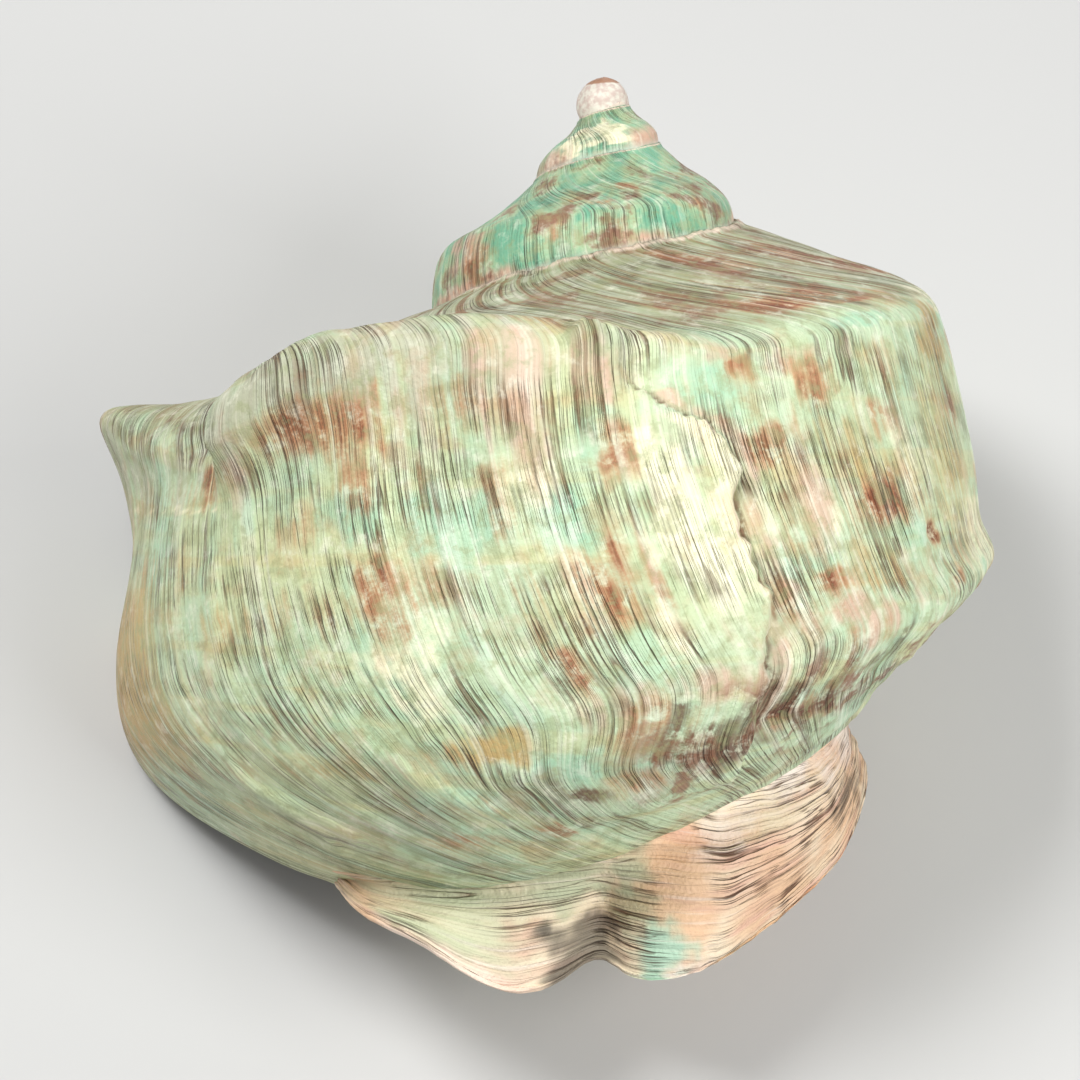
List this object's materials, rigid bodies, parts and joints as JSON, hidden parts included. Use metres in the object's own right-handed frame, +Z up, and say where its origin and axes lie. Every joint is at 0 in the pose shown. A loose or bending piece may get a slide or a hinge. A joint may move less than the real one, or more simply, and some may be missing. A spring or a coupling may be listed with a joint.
{
  "type": "turban shell",
  "caption": "Large heavy sea-snail shell with a low stepped spire, a knobbed shoulder, a fluted base and a wide pearly mouth, lying on its mouth.",
  "frame": {"origin": "centre of the bounding box's base, on the surface that the shell lies on", "axes": "+Z up, +Y towards the spire as seen from above, +X to the right of someone who looks along +Y; the mouth opens downwards on the -X side"},
  "size_m": [0.1662, 0.1692, 0.1236],
  "materials": {
    "shell": "satin mint-green shell with brown blotches, fine growth lines and a pearly inside"
  },
  "bodies": {
    "root": {"turban_shell": "shell"}
  },
  "joints": []
}
